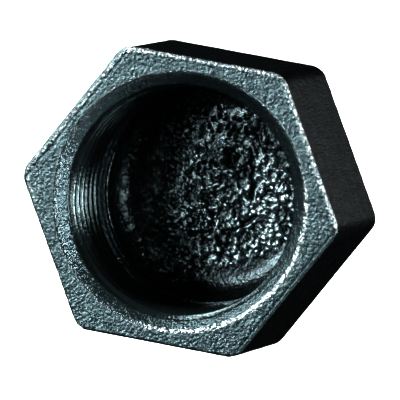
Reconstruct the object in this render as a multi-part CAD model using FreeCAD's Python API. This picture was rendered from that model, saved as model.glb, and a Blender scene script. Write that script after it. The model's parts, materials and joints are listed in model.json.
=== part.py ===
import FreeCAD, Part
import math
import os

# Hexagonal pipe cap, cast in malleable iron and tapped with a 1 inch female pipe thread.
# It is one casting: a hexagonal shell with a threaded socket, a cast pocket behind the
# socket, and a closed crown.
#
# Frame, in millimetres: the thread axis is the Y axis, the mouth lies in the plane Y = 0 and
# faces -Y, and the crown is at +Y. Two corners of the hexagon point along +X and -X, so that
# one of its flats faces -Z, and the cap lies on that flat. The origin is the centre of the
# mouth.

# Outside
ACROSS_FLATS = 38.5
HEIGHT = 23.3
CORNER_RADIUS = 2.5
MOUTH_BEVEL = 0.3
CROWN_ROUND = 0.8

# Pipe thread, 1 inch: 11 threads to the inch, Whitworth form. The socket wall stands at the
# thread's minor diameter, where the crests of the female thread are.
THREAD_PITCH = 25.4 / 11
THREAD_DEPTH = 0.640327 * THREAD_PITCH
THREAD_MAJOR_DIAMETER = 33.249
SOCKET_RADIUS = THREAD_MAJOR_DIAMETER / 2 - THREAD_DEPTH

# Countersink that leads the male thread in
COUNTERSINK_DIAMETER = 34.6
COUNTERSINK_DEPTH = 2.1

# As-cast pocket between the socket and the crown: a flat floor that turns up in one arc, which
# ends at the shoulder where the socket begins
POCKET_RADIUS = 14.4
POCKET_CORNER_RADIUS = 3.2
CROWN_THICKNESS = 2.9
SOCKET_DEPTH = HEIGHT - CROWN_THICKNESS - POCKET_CORNER_RADIUS

OVERCUT = 1.0
SIDES = 6
ON_PLANE = 1e-6


def point(radius, depth):
    """A point of a section through the thread axis, at this depth behind the mouth."""
    return FreeCAD.Vector(radius, depth, 0)


def hexagon_prism():
    """The hexagonal block with its six long edges rounded."""
    corner_distance = ACROSS_FLATS / 2 / math.cos(math.pi / SIDES)
    corners = []
    for side in range(SIDES + 1):
        angle = 2 * math.pi * side / SIDES
        corner = FreeCAD.Vector(math.cos(angle), 0, math.sin(angle))
        corners.append(corner * corner_distance)
    outline = Part.Face(Part.makePolygon(corners))
    block = outline.extrude(FreeCAD.Vector(0, HEIGHT, 0))
    long_edges = []
    for edge in block.Edges:
        if abs(edge.BoundBox.YLength - HEIGHT) < ON_PLANE:
            long_edges.append(edge)
    return block.makeFillet(CORNER_RADIUS, long_edges)


def edges_at(block, depth):
    """The edges of a block that lie in the plane at this depth behind the mouth."""
    found = []
    for edge in block.Edges:
        box = edge.BoundBox
        if abs(box.YMin - depth) < ON_PLANE and abs(box.YMax - depth) < ON_PLANE:
            found.append(edge)
    return found


def outer_shell():
    """The outside of the casting: bevelled at the mouth and rounded at the crown."""
    block = hexagon_prism()
    block = block.makeChamfer(MOUTH_BEVEL, edges_at(block, 0.0))
    return block.makeFillet(CROWN_ROUND, edges_at(block, HEIGHT))


def cavity():
    """The space inside: countersink, socket, shoulder, and the bowl-shaped pocket."""
    floor_depth = HEIGHT - CROWN_THICKNESS
    cone_slope = (COUNTERSINK_DIAMETER / 2 - SOCKET_RADIUS) / COUNTERSINK_DEPTH
    corner_centre = point(POCKET_RADIUS - POCKET_CORNER_RADIUS, SOCKET_DEPTH)
    diagonal = POCKET_CORNER_RADIUS * math.sqrt(0.5)
    corner_start = point(POCKET_RADIUS, SOCKET_DEPTH)
    corner_middle = corner_centre + point(diagonal, diagonal)
    corner_end = point(corner_centre.x, floor_depth)
    straight_part = Part.makePolygon([
        corner_end,
        point(0, floor_depth),
        point(0, -OVERCUT),
        point(COUNTERSINK_DIAMETER / 2 + cone_slope * OVERCUT, -OVERCUT),
        point(SOCKET_RADIUS, COUNTERSINK_DEPTH),
        point(SOCKET_RADIUS, SOCKET_DEPTH),
        corner_start,
    ])
    rounded_part = Part.Arc(corner_start, corner_middle, corner_end).toShape()
    section = Part.Face(Part.Wire(straight_part.Edges + [rounded_part]))
    return section.revolve(FreeCAD.Vector(0, 0, 0), FreeCAD.Vector(0, 1, 0), 360)


def cap_body():
    """The whole casting."""
    return outer_shell().cut(cavity()).removeSplitter()


def write(node, shape):
    """Save one solid under its node's name."""
    solid = shape.Solids[0]
    solid.exportStep(f"parts/{node}.step")
    print(f"{node}: {solid.Volume / 1000:.2f} cm3, valid {solid.isValid()}, faces {len(solid.Faces)}")


os.makedirs("parts", exist_ok=True)
write("cap_body", cap_body())
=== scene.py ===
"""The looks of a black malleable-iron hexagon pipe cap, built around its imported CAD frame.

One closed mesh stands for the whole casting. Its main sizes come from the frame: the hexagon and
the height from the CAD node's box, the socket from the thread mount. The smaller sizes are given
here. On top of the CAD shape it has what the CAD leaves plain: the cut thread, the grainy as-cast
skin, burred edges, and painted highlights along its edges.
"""

import json
import math

import bmesh
import bpy
import numpy as np
from mathutils import Matrix, Vector, geometry, noise


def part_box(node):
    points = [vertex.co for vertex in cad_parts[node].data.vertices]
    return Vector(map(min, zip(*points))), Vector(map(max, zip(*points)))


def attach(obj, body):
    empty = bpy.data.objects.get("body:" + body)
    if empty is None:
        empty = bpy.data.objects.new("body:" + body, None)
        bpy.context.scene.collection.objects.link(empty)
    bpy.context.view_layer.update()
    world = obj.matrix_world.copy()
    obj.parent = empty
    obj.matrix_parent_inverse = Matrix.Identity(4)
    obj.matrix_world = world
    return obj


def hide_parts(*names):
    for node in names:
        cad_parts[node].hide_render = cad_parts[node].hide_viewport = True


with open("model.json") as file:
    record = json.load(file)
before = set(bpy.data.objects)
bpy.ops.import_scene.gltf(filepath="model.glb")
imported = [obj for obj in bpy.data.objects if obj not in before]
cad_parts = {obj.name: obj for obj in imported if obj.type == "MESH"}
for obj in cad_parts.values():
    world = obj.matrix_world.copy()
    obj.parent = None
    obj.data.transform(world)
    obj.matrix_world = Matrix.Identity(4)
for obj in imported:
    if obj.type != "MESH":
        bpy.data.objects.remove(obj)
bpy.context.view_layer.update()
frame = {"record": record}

MM = 0.001
TAU = 2 * math.pi
SIDES = 6

# ---------------------------------------------------------------- sizes, in metres
NODE = "cap_body"
low_corner, high_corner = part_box(NODE)
mounts = {mount["name"]: mount for mount in frame["record"]["mounts"]}
thread_mount = mounts["pipe_thread"]

FLAT_DISTANCE = high_corner.z
HEIGHT = high_corner.y
CORNER_RADIUS = 2.5 * MM
MOUTH_BEVEL = 0.3 * MM
BEVEL_MIDDLE = (0.5 * MOUTH_BEVEL, 0.35 * MOUTH_BEVEL)
CROWN_ROUND = 0.8 * MM

INCH = 25.4 * MM
THREADS_PER_INCH = 11
PITCH = INCH / THREADS_PER_INCH
DEPTH_PER_PITCH = 0.640327
THREAD_DEPTH = DEPTH_PER_PITCH * PITCH
SOCKET_RADIUS = thread_mount["dims"]["r_mm"] * MM
SOCKET_LENGTH = thread_mount["dims"]["length_mm"] * MM
SOCKET_START = thread_mount["pos_m"][1] - SOCKET_LENGTH / 2
SOCKET_END = SOCKET_START + SOCKET_LENGTH
COUNTERSINK_RADIUS = 17.3 * MM
CONE_LEAN = math.atan((COUNTERSINK_RADIUS - SOCKET_RADIUS) / SOCKET_START)
LIP_ROUND = 0.7 * MM
LIP_RADIUS = COUNTERSINK_RADIUS + LIP_ROUND * math.tan((math.pi / 2 - CONE_LEAN) / 2)
LIP_DEPTH = LIP_ROUND * (1 - math.sin(CONE_LEAN))
TAP_ENTRY = (0.9 * MM, 2.2 * MM)
TAP_LEAD_START = SOCKET_END - 1.6 * MM
TAP_LEAD_END = SOCKET_END - 0.3 * MM

POCKET_RADIUS = 14.4 * MM
POCKET_CORNER_RADIUS = 3.2 * MM
SHOULDER_ROUND = 0.3 * MM
FLOOR_DEPTH = SOCKET_END + POCKET_CORNER_RADIUS

# The thread's form between crest and root, as shares, and where its first crest lies, in turns
CREST_SHARE = 0.16
FLANK_SHARE = 0.68
STRAIGHT_FORM = 0.7
ROUNDED_FORM = 0.3
FIRST_TURN = 0.85

# ---------------------------------------------------------------- mesh density
AROUND = 360
ROWS_PER_PITCH = 10
WALL_ROWS = 40
CROWN_ROWS = 5
LIP_ROWS = 4
MOUTH_SPACING = 0.17 * MM
FLOOR_SPACING = 0.155 * MM
BOWL_ROWS = 30
SHOULDER_ROWS = 4
CROWN_SPACING = 0.5 * MM

# Shares of the spacing: how far grid points stray, and how far they keep from an outline
GRID_JITTER = 0.18
OUTLINE_MARGIN = 0.6
GRID_SEED = 7
# The kind of result asked of delaunay_2d_cdt, and how close points may be in millimetres
INSIDE_OUTLINE = 1
NEAREST_POINTS = 1e-7
# A socket vertex this near the lip or the socket's end, as a share of a row, joins that row
ROW_MERGE = 0.1
NOT_YET = -1

angles = np.arange(AROUND) * TAU / AROUND


# ---------------------------------------------------------------- the casting's plain shape
def hexagon_radius(angle, inset):
    """Distance from the axis to the rounded hexagon at an angle, the outline moved in by inset."""
    flat = FLAT_DISTANCE - inset
    rounding = CORNER_RADIUS - inset
    half_side = math.pi / SIDES
    from_corner = np.abs((angle + half_side) % (2 * half_side) - half_side)
    centre = (flat - rounding) / math.cos(half_side)
    arc_end = math.atan2(
        rounding * math.sin(half_side), centre + rounding * math.cos(half_side)
    )
    on_arc = centre * np.cos(from_corner) + np.sqrt(
        np.maximum(rounding ** 2 - (centre * np.sin(from_corner)) ** 2, 0)
    )
    on_flat = flat / np.cos(half_side - from_corner)
    return np.where(from_corner < arc_end, on_arc, on_flat)


def ring(radius, depth):
    """Points around the axis: radius and depth may each be one number or one per angle."""
    radius = np.broadcast_to(radius, AROUND)
    depth = np.broadcast_to(depth, AROUND)
    return np.stack([radius * np.cos(angles), depth, radius * np.sin(angles)], axis=1)


class Skin:
    """The vertices and faces of the closed mesh while it is put together."""

    def __init__(self):
        self.points = []
        self.faces = []

    def add(self, points):
        """Adds vertices and returns their indices."""
        first = len(self.points)
        self.points.extend(map(tuple, points))
        return np.arange(first, len(self.points))

    def join(self, row, next_row):
        """Quads between two rows of indices round the axis, leaving out collapsed corners."""
        for i in range(AROUND):
            corners = [row[i], row[(i + 1) % AROUND], next_row[(i + 1) % AROUND], next_row[i]]
            self.add_face(corners)

    def add_face(self, corners):
        """One face, without the corners that fall together."""
        kept = []
        for corner in corners:
            if corner not in kept:
                kept.append(corner)
        if len(kept) > 2:
            self.faces.append([int(corner) for corner in kept])


def grid_points(spacing, reach, inside, rng):
    """Points scattered evenly over a flat area: a jittered triangular grid."""
    row_step = spacing * math.sqrt(3) / 2
    rows = int(reach / row_step) + 1
    columns = int(reach / spacing) + 1
    points = []
    for row in range(-rows, rows + 1):
        xs = (np.arange(-columns, columns + 1) + 0.5 * (row % 2)) * spacing
        zs = np.full(len(xs), row * row_step)
        points.append(np.stack([xs, zs], axis=1))
    points = np.concatenate(points)
    points += rng.uniform(-GRID_JITTER, GRID_JITTER, points.shape) * spacing
    return points[inside(points)]


def fill_flat(skin, outer, inner, depth, spacing, rng):
    """Triangles over the flat area within a ring of vertices, and outside an inner ring if any."""
    places = np.array(skin.points)
    outer_at = places[outer][:, [0, 2]]
    rim = [outer] if inner is None else [outer, inner]
    outer_radius = np.hypot(*outer_at.T)
    inner_radius = 0.0 if inner is None else np.hypot(*places[inner][0, [0, 2]])
    margin = OUTLINE_MARGIN * spacing
    whole_turn = np.append(angles, TAU)
    whole_outline = np.append(outer_radius, outer_radius[0])

    def inside(points):
        radius = np.hypot(*points.T)
        angle = np.arctan2(points[:, 1], points[:, 0]) % TAU
        within = radius < np.interp(angle, whole_turn, whole_outline) - margin
        if inner is not None:
            within &= radius > inner_radius + margin
        return within

    loose = grid_points(spacing, outer_radius.max(), inside, rng)
    flat = np.concatenate([places[indices][:, [0, 2]] for indices in rim] + [loose])
    edges = []
    for number in range(len(rim)):
        first = number * AROUND
        edges += [(first + i, first + (i + 1) % AROUND) for i in range(AROUND)]
    scaled = [Vector(point) for point in (flat / MM).tolist()]
    found = geometry.delaunay_2d_cdt(scaled, edges, [], INSIDE_OUTLINE, NEAREST_POINTS)
    triangles, origins = found[2:4]
    new_points = np.stack([loose[:, 0], np.full(len(loose), depth), loose[:, 1]], axis=1)
    index_of = np.concatenate(rim + [skin.add(new_points)])
    sources = [origin[0] if origin else None for origin in origins]
    for triangle in triangles:
        corners = [sources[i] for i in triangle]
        inside_hole = inner is not None and all(AROUND <= i < 2 * AROUND for i in corners)
        if inside_hole:
            continue
        skin.faces.append([int(index_of[i]) for i in corners])


def thread_radius(depth, turn):
    """Radius of the socket wall with its right-hand Whitworth thread, countersink and tap lead."""
    phase = (depth / PITCH + turn - FIRST_TURN) % 1.0
    from_crest = np.minimum(phase, 1 - phase) * 2
    groove = np.clip((from_crest - CREST_SHARE) / FLANK_SHARE, 0, 1)
    rounded = groove * groove * (3 - 2 * groove)
    form = STRAIGHT_FORM * groove + ROUNDED_FORM * rounded
    tap = np.interp(depth, [*TAP_ENTRY, TAP_LEAD_START, TAP_LEAD_END], [0.0, 1.0, 1.0, 0.0])
    cut = SOCKET_RADIUS + THREAD_DEPTH * np.minimum(form, tap)
    cone = np.interp(depth, [0, SOCKET_START], [COUNTERSINK_RADIUS, SOCKET_RADIUS])
    return np.maximum(cut, cone)


def add_socket(skin, lip_row, end_row):
    """The threaded wall as a helical net, its rows climbing one pitch in each turn."""
    rows = int(math.ceil((SOCKET_END + PITCH) / PITCH * ROWS_PER_PITCH)) + 1
    merge_gap = ROW_MERGE * PITCH / ROWS_PER_PITCH
    net = np.zeros((rows, AROUND + 1), int)
    for row in range(rows):
        turn = np.arange(AROUND + 1) / AROUND
        depth = (row / ROWS_PER_PITCH - turn) * PITCH
        radius = thread_radius(depth, turn)
        for i in range(AROUND + 1):
            if depth[i] < LIP_DEPTH + merge_gap:
                net[row, i] = lip_row[i % AROUND]
            elif depth[i] > SOCKET_END - merge_gap:
                net[row, i] = end_row[i % AROUND]
            elif i == AROUND:
                net[row, i] = NOT_YET
            else:
                angle = angles[i]
                place = (radius[i] * math.cos(angle), depth[i], radius[i] * math.sin(angle))
                net[row, i] = skin.add([place])[0]
    for row in range(rows):
        if net[row, AROUND] == NOT_YET:
            net[row, AROUND] = net[row - ROWS_PER_PITCH, 0]
    for row in range(rows - 1):
        for i in range(AROUND):
            skin.add_face([net[row, i], net[row, i + 1], net[row + 1, i + 1], net[row + 1, i]])


def add_outside(skin, rng):
    """The crown, the flats and the bevel. Returns the row of vertices round the mouth face."""
    rows = []
    for step in range(CROWN_ROWS + 1):
        lean = math.pi / 2 * step / CROWN_ROWS
        inset = CROWN_ROUND * (1 - math.sin(lean))
        rows.append((inset, HEIGHT - CROWN_ROUND * (1 - math.cos(lean))))
    wall_start, wall_end = HEIGHT - CROWN_ROUND, MOUTH_BEVEL
    for step in range(1, WALL_ROWS + 1):
        rows.append((0.0, wall_start + (wall_end - wall_start) * step / WALL_ROWS))
    rows.append(BEVEL_MIDDLE)
    rows.append((MOUTH_BEVEL, 0.0))
    made = [skin.add(ring(hexagon_radius(angles, inset), depth)) for inset, depth in rows]
    for row, next_row in zip(made, made[1:]):
        skin.join(row, next_row)
    fill_flat(skin, made[0], None, HEIGHT, CROWN_SPACING, rng)
    return made[-1]


def add_mouth(skin, rim_row, rng):
    """The mouth face and the countersink's rounded lip. Returns the lip's innermost row."""
    row = skin.add(ring(LIP_RADIUS, 0.0))
    fill_flat(skin, rim_row, row, 0.0, MOUTH_SPACING, rng)
    for step in range(1, LIP_ROWS + 1):
        lean = (math.pi / 2 - CONE_LEAN) * step / LIP_ROWS
        depth = LIP_ROUND * (1 - math.cos(lean))
        next_row = skin.add(ring(LIP_RADIUS - LIP_ROUND * math.sin(lean), depth))
        skin.join(row, next_row)
        row = next_row
    return row


def add_pocket(skin, end_row, rng):
    """The shoulder at the socket's end, the pocket's curved wall and its floor."""
    row = end_row
    for step in range(SHOULDER_ROWS + 1):
        lean = math.pi / 2 * step / SHOULDER_ROWS
        radius = POCKET_RADIUS + SHOULDER_ROUND * (1 - math.sin(lean))
        next_row = skin.add(ring(radius, SOCKET_END + SHOULDER_ROUND * (1 - math.cos(lean))))
        skin.join(row, next_row)
        row = next_row
    first_lean = math.asin(SHOULDER_ROUND / POCKET_CORNER_RADIUS)
    for step in range(1, BOWL_ROWS + 1):
        lean = first_lean + (math.pi / 2 - first_lean) * step / BOWL_ROWS
        radius = POCKET_RADIUS - POCKET_CORNER_RADIUS * (1 - math.cos(lean))
        next_row = skin.add(ring(radius, SOCKET_END + POCKET_CORNER_RADIUS * math.sin(lean)))
        skin.join(row, next_row)
        row = next_row
    fill_flat(skin, row, None, FLOOR_DEPTH, FLOOR_SPACING, rng)


def build_skin():
    """The whole casting before its surface is roughened."""
    skin = Skin()
    rng = np.random.default_rng(GRID_SEED)
    rim_row = add_outside(skin, rng)
    lip_row = add_mouth(skin, rim_row, rng)
    end_row = skin.add(ring(SOCKET_RADIUS, SOCKET_END))
    add_socket(skin, lip_row, end_row)
    add_pocket(skin, end_row, rng)
    return skin


def mesh_from(skin, name):
    """A Blender object from the skin, its faces turned outwards."""
    mesh = bpy.data.meshes.new(name)
    mesh.from_pydata(skin.points, [], skin.faces)
    mesh.validate()
    work = bmesh.new()
    work.from_mesh(mesh)
    bmesh.ops.recalc_face_normals(work, faces=work.faces)
    work.to_mesh(mesh)
    work.free()
    body = bpy.data.objects.new(name, mesh)
    bpy.context.scene.collection.objects.link(body)
    return body


# ---------------------------------------------------------------- noise and blending
# How a seed shifts the noise along X, Y and Z
SEED_STEP = (1, 0.37, -0.71)
# How fast finer noise fades, and how much finer each layer is
LAYER_FALL = 0.7
LAYER_STEP = 2.1
# A pebble's height is the least plus a random share of the spread
LEAST_PEBBLE = 0.45
PEBBLE_SPREAD = 0.55
PEBBLE_SCATTER = 7.3


def shift_by(seed):
    """A step through the noise, different for each seed."""
    return Vector([step * seed for step in SEED_STEP])


def field(points, size, detail=1, seed=0.0):
    """Smooth noise at each point, from about -1 to 1, with bumps of about the given size."""
    shift = shift_by(seed)
    scale = 1 / size
    values = []
    for point in points:
        place = Vector(point) * scale + shift
        if detail == 1:
            values.append(noise.noise(place))
        else:
            values.append(noise.fractal(place, LAYER_FALL, LAYER_STEP, detail))
    return np.array(values)


def step_up(value, low, high):
    """0 below low, 1 above high, and a smooth rise between."""
    share = np.clip((value - low) / (high - low), 0, 1)
    return share * share * (3 - 2 * share)


def bell(value, centre, width):
    """1 at the centre, falling smoothly to almost 0 at two widths from it."""
    return np.exp(-((value - centre) / width) ** 2)


def pebbles(points, size, reach, seed):
    """Rounded bumps of uneven height, one to each cell of the given size, from 0 to 1 on top."""
    shift = shift_by(seed)
    values = []
    for point in points:
        distances, centres = noise.voronoi(Vector(point) / size + shift)
        tallness = LEAST_PEBBLE + PEBBLE_SPREAD * abs(noise.cell(centres[0] * PEBBLE_SCATTER))
        values.append(tallness * max(0.0, 1 - (distances[0] / reach) ** 2))
    return np.array(values)


def line_distance(places, line):
    """Distance from each flat place to a line of points."""
    nearest = np.full(len(places), np.inf)
    for start, end in zip(line, line[1:]):
        start, end = np.array(start), np.array(end)
        along = end - start
        share = np.clip((places - start) @ along / (along @ along), 0, 1)
        nearest = np.minimum(nearest, np.hypot(*(places - start - share[:, None] * along).T))
    return nearest


# ---------------------------------------------------------------- the pocket's floor
# Marks on the floor, as X and Z in millimetres from the thread axis
CRACKS = [
    [(3.8, 6.5), (4.2, 4.6), (4.7, 2.4), (5.0, 0.2)],
    [(-2.9, -6.0), (-1.6, -5.7), (0.0, -5.3)],
    [(1.6, -5.0), (2.8, -4.7), (4.0, -3.9), (5.9, -2.1)],
    [(0.9, -6.0), (2.5, -6.9), (2.8, -5.0)],
]
# X, Z, radius and depth of each hollow
HOLLOWS = [(1.2, 5.2, 1.4, 0.40), (-2.7, 3.5, 0.6, 0.30), (-0.9, 4.1, 0.8, 0.25)]
CRATER_FIELD = (-0.4, 10.0)
CRATER_SPREAD = (3.4, 1.9)
CRATERS = 30
CRATER_SEED = 21
CRATER_SIZES = (0.3, 0.55)
SMOOTH_SIDE = (0.505, -0.863)

# Heights, depths and widths on the floor, in millimetres
PEBBLE_HEIGHT = 0.32
SMALL_PEBBLE_HEIGHT = 0.07
LUMP_HEIGHT = 0.14
CRATER_FIELD_RISE = 0.08
SMOOTH_SIDE_RISE = 0.01
CRACK_WANDER = 0.35
CRACK_DEPTH = 0.46
CRACK_WIDTH = 0.20
CRACK_LIP_HEIGHT = 0.05
CRACK_LIP_DISTANCE = 0.5
HOLLOW_WANDER = 0.9
HOLLOW_RIM_HEIGHT = 0.14
CRATER_RIM_HEIGHT = 0.10
CRATER_RIM_WIDTH = 0.13
CRATER_DEPTH = 0.30


def smooth_part(places):
    """1 on the smooth side of the pocket's floor and 0 on the pebbled rest."""
    wander = 0.9 * field(places, size=1.7, detail=2, seed=71.0)
    towards = places[:, [0, 2]] @ np.array(SMOOTH_SIDE) + wander
    return step_up(towards, 8.8, 10.8)


def floor_grain(places, flat):
    """Pebbles and lumps, lower near the -X wall, on the smooth side and among the craters."""
    smooth = smooth_part(places)
    foam = 1 - step_up(np.hypot(*(flat - CRATER_FIELD).T), 1.8, 3.8)
    from_wall = 0.25 + 0.75 * step_up(flat[:, 0], -10.5, -6.0)
    relief = PEBBLE_HEIGHT * pebbles(places, size=0.76, reach=0.72, seed=3.0)
    relief += SMALL_PEBBLE_HEIGHT * pebbles(places, size=0.46, reach=0.6, seed=9.0)
    relief += LUMP_HEIGHT * field(places, size=1.9, detail=3, seed=23.0)
    relief = from_wall * (1 - 0.9 * smooth) * (1 - 0.6 * foam) * relief
    relief += CRATER_FIELD_RISE * foam
    relief += SMOOTH_SIDE_RISE * smooth
    return relief


def floor_relief(places):
    """Height of the as-cast floor in millimetres: pebbles, lumps, cracks, hollows, craters."""
    flat = places[:, [0, 2]]
    relief = floor_grain(places, flat)
    wander = np.stack([field(places, 0.9, seed=seed) for seed in (41.0, 47.0)], axis=1)
    for crack in CRACKS:
        distance = line_distance(flat + CRACK_WANDER * wander, crack)
        relief -= CRACK_DEPTH * bell(distance, 0, CRACK_WIDTH)
        relief += CRACK_LIP_HEIGHT * bell(distance, CRACK_LIP_DISTANCE, CRACK_WIDTH)
    for x, z, size, deep in HOLLOWS:
        distance = np.hypot(*(flat + HOLLOW_WANDER * wander - (x, z)).T)
        relief -= deep * (1 - step_up(distance, 0.3 * size, size))
        relief += HOLLOW_RIM_HEIGHT * bell(distance, 1.25 * size, 0.25 * size)
    rng = np.random.default_rng(CRATER_SEED)
    for _ in range(CRATERS):
        centre = np.array(CRATER_FIELD) + rng.uniform(-1, 1, 2) * CRATER_SPREAD
        size = rng.uniform(*CRATER_SIZES)
        distance = np.hypot(*(flat - centre).T)
        relief += CRATER_RIM_HEIGHT * bell(distance, size, CRATER_RIM_WIDTH)
        relief -= CRATER_DEPTH * bell(distance, 0, 0.6 * size)
    below_shoulder = places[:, 1] - SOCKET_END / MM
    return relief * step_up(below_shoulder, 0.3, 1.4)


# ---------------------------------------------------------------- the mouth face
# Sides of the mouth, as directions in degrees from +X towards +Z
FLASH_SIDE = -30
BURRED_SIDES = (30, 90)
RIDGED_SIDE = 150

# Heights, depths, widths and distances inside the edge, in millimetres
FACE_GRAIN = 0.06
FACE_SWELL = 0.035
FLASH_DEPTH = 0.18
FLASH_INSIDE = 0.55
FLASH_WIDTH = 0.12
RIDGE_DEPTH = 0.10
RIDGE_INSIDE = 1.0
RIDGE_WIDTH = 0.13
RIDGE_WANDER = 0.12
BURR_HEIGHT = 0.06
BURR_UNEVENNESS = 0.12


def from_edge(places, side):
    """How far inside the hexagon's flat a place is, in millimetres, for a flat's direction."""
    side = math.radians(side)
    across = places[:, 0] * math.cos(side) + places[:, 2] * math.sin(side)
    return FLAT_DISTANCE / MM - across


def mouth_relief(places):
    """Height of the mouth face in millimetres.

    It has an orange-peel grain and two burred edges. On two other sides a groove sets off the
    edge, which stands as a flash line and a ridge.
    """
    inside = from_edge(places, FLASH_SIDE)
    relief = FACE_GRAIN * field(places, size=0.36, seed=3.0)
    relief = relief + FACE_GRAIN * pebbles(places, size=0.45, reach=0.6, seed=31.0)
    relief = relief + FACE_SWELL * field(places, size=2.6, detail=2, seed=5.0)
    relief = step_up(inside, 0.35, 0.6) * relief
    relief -= FLASH_DEPTH * bell(inside, FLASH_INSIDE, FLASH_WIDTH)
    wander = RIDGE_WANDER * field(places, size=1.5, detail=2, seed=61.0)
    inside = from_edge(places, RIDGED_SIDE) + wander
    relief -= RIDGE_DEPTH * bell(inside, RIDGE_INSIDE, RIDGE_WIDTH)
    for side in BURRED_SIDES:
        near = 1 - step_up(from_edge(places, side), 0.3, 0.75)
        uneven = BURR_UNEVENNESS * np.abs(field(places, size=0.5, seed=53.0))
        relief += near * (uneven + BURR_HEIGHT)
    return relief


# ---------------------------------------------------------------- where highlights are painted on edges
def bearing(places):
    """The direction of each place round the axis, in degrees from +X towards +Z."""
    return np.degrees(np.arctan2(places[:, 2], places[:, 0])) % 360


def edge_highlights(places):
    """Painted highlight on the mouth face: its burred edges and a line inside its -X edges."""
    painted_highlight = np.zeros(len(places))
    for side in BURRED_SIDES:
        painted_highlight += 1 - step_up(from_edge(places, side), 0.15, 0.6)
    angle = np.arctan2(places[:, 2], places[:, 0]) % TAU
    outline = hexagon_radius(angle, 0.0) / MM
    inside = outline - np.hypot(places[:, 0], places[:, 2])
    left = step_up(angle, math.radians(108), math.radians(118))
    left *= 1 - step_up(angle, math.radians(182), math.radians(196))
    return np.clip(painted_highlight + left * bell(inside, 0.6, 0.16), 0, 1)


def lip_highlight(places):
    """Painted highlight on the countersink's rounded lip: mostly low and on the +X side."""
    angle = bearing(places)
    side = 0.15 + 0.85 * step_up(angle, 255, 268) + 0.85 * (1 - step_up(angle, 5, 30))
    radius = np.hypot(places[:, 0], places[:, 2])
    low, high = COUNTERSINK_RADIUS / MM - 0.35, LIP_RADIUS / MM
    on_lip = step_up(radius, low - 0.1, low + 0.1) * (1 - step_up(radius, high - 0.05, high + 0.1))
    return side * on_lip * (places[:, 1] < 1.5 * LIP_DEPTH / MM)


def shoulder_highlight(places):
    """Painted highlight on the edge between socket and pocket: a short stretch on the -X side."""
    angle = bearing(places)
    side = 0.6 * step_up(angle, 160, 172) * (1 - step_up(angle, 203, 212))
    from_arc = np.hypot(places[:, 0], places[:, 2]) - POCKET_RADIUS / MM
    below = places[:, 1] - SOCKET_END / MM
    return side * (np.abs(from_arc) < 0.22) * (below > -0.01) * (below < 0.45)


# ---------------------------------------------------------------- the rough skin
# How far a place may be from a surface and still be on it, in millimetres
TOUCH = 0.01
FLOOR_TOUCH = 0.1
# How deep the mouth face reaches over the bevel, in millimetres
BEVEL_REACH = 0.4
# Over what depth the countersink's look gives way to the thread's, and where the thread's fades
# out before the socket's end, in millimetres
CHAMFER_FADE = 0.5
CUT_FADE_START = 1.6
CUT_FADE_END = 0.8
# Heights of the skin's own noise, in millimetres
CROWN_SWELL = 0.05
FINE_GRAIN = 0.008
FLAT_SWELL = 0.025
CHAMFER_GRAIN = 0.8


def find_zones(places):
    """Which places are in each part of the casting, and how far the cut surfaces reach, 0 to 1."""
    depth = places[:, 1]
    radius = np.hypot(places[:, 0], places[:, 2])
    socket_start, socket_end = SOCKET_START / MM, SOCKET_END / MM
    in_bore = radius < LIP_RADIUS / MM + TOUCH
    shoulder_radius = (POCKET_RADIUS + SHOULDER_ROUND) / MM + TOUCH
    pocket = in_bore & (radius < shoulder_radius) & (depth > socket_end - TOUCH)
    pocket &= depth < FLOOR_DEPTH / MM + FLOOR_TOUCH
    socket = in_bore & (depth < socket_end + TOUCH) & ~pocket
    outside = ~pocket & ~socket
    mouth = (outside & (depth < BEVEL_REACH)) | (socket & (depth < TOUCH))
    crown = outside & (depth > (HEIGHT - CROWN_ROUND) / MM + TOUCH)
    flats = outside & ~mouth & ~crown
    socket &= ~mouth
    chamfer = socket * (1 - step_up(depth, socket_start - CHAMFER_FADE, socket_start))
    uncut = step_up(depth, socket_end - CUT_FADE_START, socket_end - CUT_FADE_END)
    machined = socket * (1 - uncut) - chamfer
    return {
        "pocket": pocket,
        "socket": socket,
        "mouth": mouth,
        "crown": crown,
        "flats": flats,
        "chamfer": chamfer,
        "machined": machined,
    }


def skin_rise(places, zones):
    """How far each place stands out from the plain shape, in millimetres."""
    mouth, crown, flats = zones["mouth"], zones["crown"], zones["flats"]
    pocket, socket = zones["pocket"], zones["socket"]
    rise = np.zeros(len(places))
    rise[mouth] = mouth_relief(places[mouth])
    rise[crown] = CROWN_SWELL * field(places[crown], size=1.2, detail=3, seed=13.0)
    rise[flats] = FINE_GRAIN * field(places[flats], size=0.44, seed=3.0)
    rise[flats] += FLAT_SWELL * field(places[flats], size=2.6, detail=2, seed=5.0)
    rise[pocket] = floor_relief(places[pocket])
    rise[socket] = FINE_GRAIN * field(places[socket], size=0.44, seed=3.0)
    rise[socket] += (CHAMFER_GRAIN * zones["chamfer"][socket]) * mouth_relief(places[socket])
    return rise


def roughen(body):
    """Moves the mesh along its normals into a cast skin, notes how each place was made and where
    highlights are painted.
    """
    mesh = body.data
    count = len(mesh.vertices)
    places = np.zeros(count * 3)
    normals = np.zeros(count * 3)
    mesh.vertices.foreach_get("co", places)
    mesh.vertices.foreach_get("normal", normals)
    places = places.reshape(-1, 3) / MM
    normals = normals.reshape(-1, 3)

    zones = find_zones(places)
    rise = skin_rise(places, zones)
    moved = (places + normals * rise[:, None]) * MM
    mesh.vertices.foreach_set("co", moved.ravel())
    mesh.update()
    # The edge mark says where highlights are painted: mouth edges, countersink lip and socket
    # shoulder
    edge = zones["mouth"] * edge_highlights(places) + lip_highlight(places) + shoulder_highlight(places)
    marks = {
        "machined": zones["machined"],
        "chamfer": zones["chamfer"],
        "pocket": zones["pocket"].astype(float),
        "flat_side": zones["flats"].astype(float),
        "edge": edge,
        "rise": rise,
    }
    for name, values in marks.items():
        attribute = mesh.attributes.new(name, "FLOAT", "POINT")
        attribute.data.foreach_set("value", values)


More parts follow.
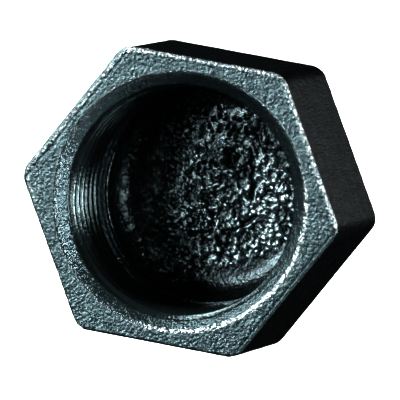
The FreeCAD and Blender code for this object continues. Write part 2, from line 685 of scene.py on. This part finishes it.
# ---------------------------------------------------------------- material
OXIDE_DARK = (0.018, 0.030, 0.034, 1)
OXIDE_PALE = (0.055, 0.088, 0.095, 1)
WORN_PEAK = (0.158, 0.22, 0.234, 1)
# Painted shade for the floor's gaps, cracks and hollows; the next colour is for the pebble tops
PEBBLE_GAP_SHADE = (0.022, 0.032, 0.035, 1)
PEBBLE_TOP = (0.18, 0.245, 0.26, 1)
CUT_DARK = (0.012, 0.018, 0.019, 1)
CUT_PALE = (0.075, 0.105, 0.11, 1)
# Painted shade: the hexagon's flats get a much darker colour than the oxide elsewhere
FLANK_SHADE_DARK = (0.006, 0.008, 0.009, 1)
FLANK_SHADE_PALE = (0.024, 0.032, 0.034, 1)
# Colour of the painted highlights along edges
HIGHLIGHT_BRIGHT = (0.42, 0.48, 0.49, 1)
METALLIC = 0.85
ROUGHNESS_RANGE = (0.22, 0.38)
BORE_GLOSS = 0.12
POCKET_GLOSS = 0.07
FLAT_DULLNESS = 0.08
BUMP_DISTANCE = 0.09 * MM
RING_WOBBLE = 0.4 * MM
SCRATCH_TURN = (0.6, 0.5, 0.7)
SCRATCH_STRETCH = (1.0, 0.12, 1.0)


class Nodes:
    """Adds nodes to a material and links them."""

    def __init__(self, material):
        material.use_nodes = True
        self.tree = material.node_tree
        self.shader = self.tree.nodes["Principled BSDF"]

    def add(self, kind, values=None, **settings):
        """A node with its settings made and its inputs set to values or linked to outputs."""
        node = self.tree.nodes.new(kind)
        for name, value in settings.items():
            setattr(node, name, value)
        for key, value in (values or {}).items():
            self.put(node.inputs[key], value)
        return node

    def put(self, socket, value):
        """Links a socket to an output, or sets it to a plain value."""
        if isinstance(value, bpy.types.NodeSocket):
            self.tree.links.new(value, socket)
        else:
            socket.default_value = value

    def noise(self, where, size, detail=2.0, roughness=0.5):
        """Noise from 0 to 1 with features of the given size."""
        values = {"Vector": where, "Scale": 1 / size, "Detail": detail, "Roughness": roughness}
        return self.add("ShaderNodeTexNoise", values).outputs["Fac"]

    def cells(self, where, size):
        """Distance to the nearest of points scattered at about the given size."""
        values = {"Vector": where, "Scale": 1 / size}
        return self.add("ShaderNodeTexVoronoi", values).outputs["Distance"]

    def remap(self, value, low, high, new_low=0.0, new_high=1.0):
        """A value between low and high stretched to new_low and new_high, and held there."""
        values = {0: value, 1: low, 2: high, 3: new_low, 4: new_high}
        return self.add("ShaderNodeMapRange", values).outputs[0]

    def math(self, operation, first, second):
        """One arithmetic step."""
        return self.add("ShaderNodeMath", {0: first, 1: second}, operation=operation).outputs[0]

    def blend(self, share, first, second):
        """A colour between two colours."""
        node = self.add("ShaderNodeMix", data_type="RGBA")
        self.put(node.inputs["Factor"], share)
        self.put(node.inputs[6], first)
        self.put(node.inputs[7], second)
        return node.outputs[2]

    def rings(self, where, size):
        """Fine turning marks round the Y axis, slightly uneven."""
        parts = self.add("ShaderNodeSeparateXYZ", {0: where}).outputs
        square = self.math("ADD", self.math("POWER", parts[0], 2), self.math("POWER", parts[2], 2))
        wobble = self.math("MULTIPLY", self.noise(where, 3 * MM), RING_WOBBLE)
        radius = self.math("ADD", self.math("POWER", square, 0.5), wobble)
        line = self.add("ShaderNodeCombineXYZ", {0: radius, 1: parts[1]}).outputs[0]
        return self.noise(line, size)

    def flank_flaws(self, where):
        """Slanting scratches and a few sand pits on the hexagon's flats."""
        values = {"Vector": where, "Rotation": SCRATCH_TURN, "Scale": SCRATCH_STRETCH}
        turned = self.add("ShaderNodeMapping", values).outputs[0]
        scratches = self.noise(turned, 0.3 * MM, detail=3.0, roughness=0.6)
        pits = self.remap(self.cells(where, 2.2 * MM), 0.06, 0.13, -1.0, 0.0)
        return self.math("ADD", self.math("MULTIPLY", scratches, 0.8), pits)

    def attribute(self, name):
        """A value stored with the mesh."""
        return self.add("ShaderNodeAttribute", attribute_name=name).outputs["Fac"]


def iron_colour(nodes, where, marks, patches, grain):
    """Blue-black oxide, paler on peaks and pebbles, painted shade on the flats and in floor
    hollows, and painted highlights on edges.
    """
    oxide = nodes.blend(patches, OXIDE_DARK, OXIDE_PALE)
    peak = nodes.remap(marks["rise"], -0.05, 0.12)
    worn = nodes.blend(nodes.math("MULTIPLY", peak, grain), oxide, WORN_PEAK)
    # Painted shade: the floor's colour darkens where it lies low, and is paler on pebble tops
    pebble_top = nodes.remap(marks["rise"], 0.01, 0.20)
    shaded_pebbles = nodes.blend(pebble_top, PEBBLE_GAP_SHADE, PEBBLE_TOP)
    cut = nodes.blend(grain, CUT_DARK, CUT_PALE)
    # Painted shade darkens the hexagon's flats
    shaded_flank = nodes.blend(patches, FLANK_SHADE_DARK, FLANK_SHADE_PALE)
    colour = nodes.blend(marks["pocket"], worn, shaded_pebbles)
    colour = nodes.blend(marks["machined"], colour, cut)
    colour = nodes.blend(marks["flat_side"], colour, shaded_flank)
    # Painted highlight: bright metal colour on the edge mark, broken up by noise
    bright = nodes.remap(nodes.noise(where, 0.5 * MM), 0.42, 0.60)
    painted_highlight = nodes.math("MULTIPLY", marks["edge"], bright)
    return nodes.blend(painted_highlight, colour, HIGHLIGHT_BRIGHT)


def iron_roughness(nodes, where, marks, patches):
    """Uneven on the cast skin, glossier in the bore and the pocket, duller on the flats."""
    specks = nodes.noise(where, 0.11 * MM, detail=1.0)
    cast = nodes.remap(nodes.math("ADD", patches, specks), 0.6, 1.4, *ROUGHNESS_RANGE)
    bore = nodes.math("MAXIMUM", marks["machined"], marks["chamfer"])
    bore_gloss = nodes.math("MULTIPLY", bore, BORE_GLOSS)
    pocket_gloss = nodes.math("MULTIPLY", marks["pocket"], POCKET_GLOSS)
    dullness = nodes.math("MULTIPLY", marks["flat_side"], FLAT_DULLNESS)
    gloss = nodes.math("SUBTRACT", nodes.math("ADD", bore_gloss, pocket_gloss), dullness)
    return nodes.math("SUBTRACT", cast, gloss)


def iron_normal(nodes, where, marks, grain):
    """Grain and pits on the cast skin, turning marks in the bore, scratches on the flats."""
    machined, flat_side = marks["machined"], marks["flat_side"]
    dimples = nodes.math("MULTIPLY", nodes.cells(where, 0.40 * MM), 0.9)
    bumps = nodes.math("SUBTRACT", grain, dimples)
    pits = nodes.remap(nodes.noise(where, 0.45 * MM, detail=1.0), 0.30, 0.42)
    skin = nodes.math("ADD", bumps, nodes.math("MULTIPLY", pits, 0.35))
    plain = nodes.math("ADD", machined, flat_side)
    plain = nodes.math("ADD", plain, nodes.math("MULTIPLY", marks["pocket"], 0.62))
    strength = nodes.remap(plain, 0.0, 1.0, 1.0, 0.2)
    relief = nodes.math("MULTIPLY", skin, strength)
    tool_marks = nodes.math("MULTIPLY", nodes.rings(where, 0.13 * MM), machined)
    tool_marks = nodes.math("MULTIPLY", tool_marks, 0.3)
    flaws = nodes.math("MULTIPLY", nodes.flank_flaws(where), flat_side)
    height = nodes.math("ADD", relief, nodes.math("ADD", tool_marks, flaws))
    values = {"Height": height, "Distance": BUMP_DISTANCE, "Strength": 1.0}
    return nodes.add("ShaderNodeBump", values).outputs["Normal"]


def black_iron():
    """Cast iron under a thin blue-black oxide, with painted highlights at its edges and painted
    shade on its flats, cut in the thread.
    """
    material = bpy.data.materials.new("black_iron")
    nodes = Nodes(material)
    where = nodes.add("ShaderNodeTexCoord").outputs["Object"]
    names = ("machined", "chamfer", "pocket", "flat_side", "edge", "rise")
    marks = {name: nodes.attribute(name) for name in names}
    patches = nodes.noise(where, 1.6 * MM, detail=4.0, roughness=0.6)
    grain = nodes.noise(where, 0.22 * MM, detail=3.0, roughness=0.6)
    inputs = nodes.shader.inputs
    nodes.put(inputs["Base Color"], iron_colour(nodes, where, marks, patches, grain))
    inputs["Metallic"].default_value = METALLIC
    nodes.put(inputs["Roughness"], iron_roughness(nodes, where, marks, patches))
    nodes.put(inputs["Normal"], iron_normal(nodes, where, marks, grain))
    return material


# ---------------------------------------------------------------- light, floor and camera
CENTRE = Vector((0, HEIGHT / 2, 0))
LIGHT_DISTANCE = 0.4
FLOOR_REACH = 2.0
# Name, azimuth and elevation in degrees, width and height in metres, power in watts
LIGHTS = [
    ("key_left", -43, 13, 0.055, 0.055, 0.80),
    ("key_high", -50, 20, 0.06, 0.06, 0.63),
    ("low_left", -30, -3, 0.06, 0.06, 0.26),
    ("front_left", -17, 5, 0.06, 0.06, 0.025),
    ("high_left", -66, 46, 0.12, 0.12, 0.74),
    ("far_left", -90, 22, 0.10, 0.16, 0.5),
    ("front_right", 52, 8, 0.10, 0.08, 0.22),
    ("side_right", 76, 10, 0.06, 0.14, 1.3),
    ("low_right", 74, -48, 0.20, 0.20, 0.19),
    ("back_right", 140, 18, 0.1, 0.1, 0.13),
    ("back_left", -122, 48, 0.12, 0.12, 0.12),
    ("back_low", -155, -22, 0.2, 0.2, 0.4),
]


def direction(azimuth, elevation):
    """The way from the object: azimuth 0 is out of the mouth and 90 is towards +X, in degrees."""
    azimuth, elevation = math.radians(azimuth), math.radians(elevation)
    return Vector((
        math.sin(azimuth) * math.cos(elevation),
        -math.cos(azimuth) * math.cos(elevation),
        math.sin(elevation),
    ))


def soft_light(name, azimuth, elevation, width, height, power):
    """A rectangular softbox that faces the object."""
    data = bpy.data.lights.new(name, "AREA")
    data.shape = "RECTANGLE"
    data.size = width
    data.size_y = height
    data.energy = power
    lamp = bpy.data.objects.new(name, data)
    way = direction(azimuth, elevation)
    lamp.location = CENTRE + way * LIGHT_DISTANCE
    lamp.rotation_euler = way.to_track_quat("Z", "Y").to_euler()
    bpy.context.scene.collection.objects.link(lamp)


def add_floor():
    """A pale floor under the lowest flat, which throws no light on the object."""
    mesh = bpy.data.meshes.new("floor")
    corners = [(-1, -1), (1, -1), (1, 1), (-1, 1)]
    points = [(x * FLOOR_REACH, y * FLOOR_REACH, low_corner.z) for x, y in corners]
    mesh.from_pydata(points, [], [(0, 1, 2, 3)])
    floor = bpy.data.objects.new("floor", mesh)
    bpy.context.scene.collection.objects.link(floor)
    material = bpy.data.materials.new("pale_floor")
    material.use_nodes = True
    shader = material.node_tree.nodes["Principled BSDF"]
    shader.inputs["Base Color"].default_value = (0.9, 0.9, 0.9, 1)
    shader.inputs["Roughness"].default_value = 0.9
    shader.inputs["Emission Color"].default_value = (1, 1, 1, 1)
    shader.inputs["Emission Strength"].default_value = 0.95
    mesh.materials.append(material)
    floor.visible_diffuse = False
    floor.visible_glossy = False
    floor.visible_shadow = False


def add_world():
    """A white backdrop that only the camera sees."""
    world = bpy.data.worlds.new("backdrop")
    world.use_nodes = True
    background = world.node_tree.nodes["Background"]
    background.inputs["Color"].default_value = (1, 1, 1, 1)
    background.inputs["Strength"].default_value = 1.0
    world.cycles_visibility.diffuse = False
    world.cycles_visibility.glossy = False
    bpy.context.scene.world = world


def add_camera(azimuth, elevation, roll, aim, distance, lens):
    """A long lens turned round the object, then rolled about its own axis."""
    data = bpy.data.cameras.new("camera")
    data.lens = lens
    camera = bpy.data.objects.new("camera", data)
    way = direction(azimuth, elevation)
    level = way.to_track_quat("Z", "Y").to_matrix()
    tilt = Matrix.Rotation(math.radians(roll), 3, "Z")
    camera.matrix_world = Matrix.LocRotScale(
        aim + way * distance, (level @ tilt).to_quaternion(), None
    )
    bpy.context.scene.collection.objects.link(camera)
    bpy.context.scene.camera = camera


casting = mesh_from(build_skin(), "cap_casting")
roughen(casting)
casting.data.materials.append(black_iron())
casting.data.polygons.foreach_set("use_smooth", [True] * len(casting.data.polygons))
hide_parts(NODE)
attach(casting, "root")

add_world()
add_floor()
for light in LIGHTS:
    soft_light(*light)
aim = Vector((2.58, 0.693, 0.712)) * MM
add_camera(azimuth=13.5, elevation=5.76, roll=9.31, aim=aim, distance=1.3, lens=877.7)
bpy.context.scene.view_settings.view_transform = "Standard"
bpy.context.scene.view_settings.look = "High Contrast"
bpy.context.scene.view_settings.exposure = 0.6
